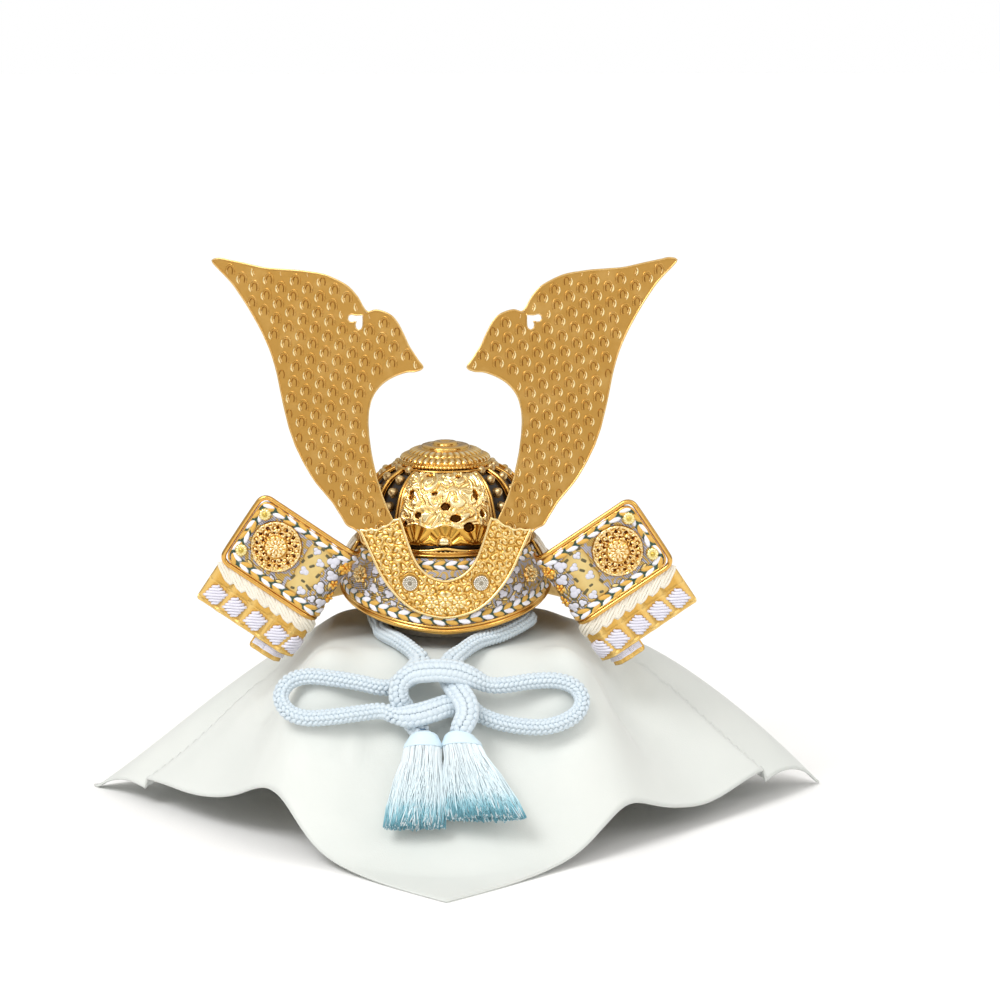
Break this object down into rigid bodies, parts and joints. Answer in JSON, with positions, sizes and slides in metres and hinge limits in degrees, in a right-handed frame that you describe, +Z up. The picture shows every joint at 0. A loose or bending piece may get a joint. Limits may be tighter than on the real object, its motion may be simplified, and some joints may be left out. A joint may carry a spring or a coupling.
{
  "type": "kabuto samurai helmet with tied cord on a cloth-draped display stand",
  "caption": "Miniature kabuto helmet with tall crest horns, turn-back panels and a neck guard, its cord tied in a bow, on a plain post and box draped with a silk cloth.",
  "frame": {"origin": "on the floor plane, at the centre of the stand box's underside and under the bowl's axis", "axes": "+Z up; -Y is the helmet's front, which the face of the crest looks along; +X is the viewer's right when facing the helmet"},
  "size_m": [0.423, 0.361, 0.3152],
  "materials": {
    "board": "plain covered board, dull",
    "silk_cloth": "pale mint-white silk crepe",
    "lacquer": "brown-black lacquer, glossy",
    "bright_gold": "gold plate, polished",
    "satin_gold": "gold plate, chased and satin",
    "silvered": "pale silvered gilt",
    "brocade": "silver-grey brocade over a metal sheet",
    "cord_silk": "pale blue round silk braid",
    "tassel_silk": "combed silk, pale blue shading to teal"
  },
  "bodies": {
    "root": {"stand_box": "board", "helmet_post": "board", "display_cloth": "silk_cloth", "bowl": "lacquer", "bowl_ribs": "bright_gold", "waist_band": "bright_gold", "finial": "bright_gold", "visor_rim": "bright_gold", "turnback_rim_left": "bright_gold", "turnback_rim_right": "bright_gold", "medallion_left": "bright_gold", "medallion_right": "bright_gold", "boss_upper_left": "bright_gold", "boss_upper_right": "bright_gold", "boss_lower_left": "bright_gold", "boss_lower_right": "bright_gold", "front_plate": "satin_gold", "crest_holder": "satin_gold", "horn_left": "satin_gold", "horn_right": "satin_gold", "lower_lame_left": "satin_gold", "lower_lame_right": "satin_gold", "under_lame_left": "satin_gold", "under_lame_right": "satin_gold", "neck_lame_1": "satin_gold", "neck_lame_2": "satin_gold", "neck_lame_3": "satin_gold", "neck_lame_4": "satin_gold", "rosette_rivet_left": "silvered", "rosette_rivet_right": "silvered", "visor": "brocade", "turnback_left": "brocade", "turnback_right": "brocade", "cord_middle": "cord_silk", "cord_lead_left": "cord_silk", "cord_lead_right": "cord_silk", "cord_loop_left": "cord_silk", "cord_loop_right": "cord_silk", "cord_knot": "cord_silk", "tassel_left": "tassel_silk", "tassel_right": "tassel_silk"}
  },
  "joints": []
}
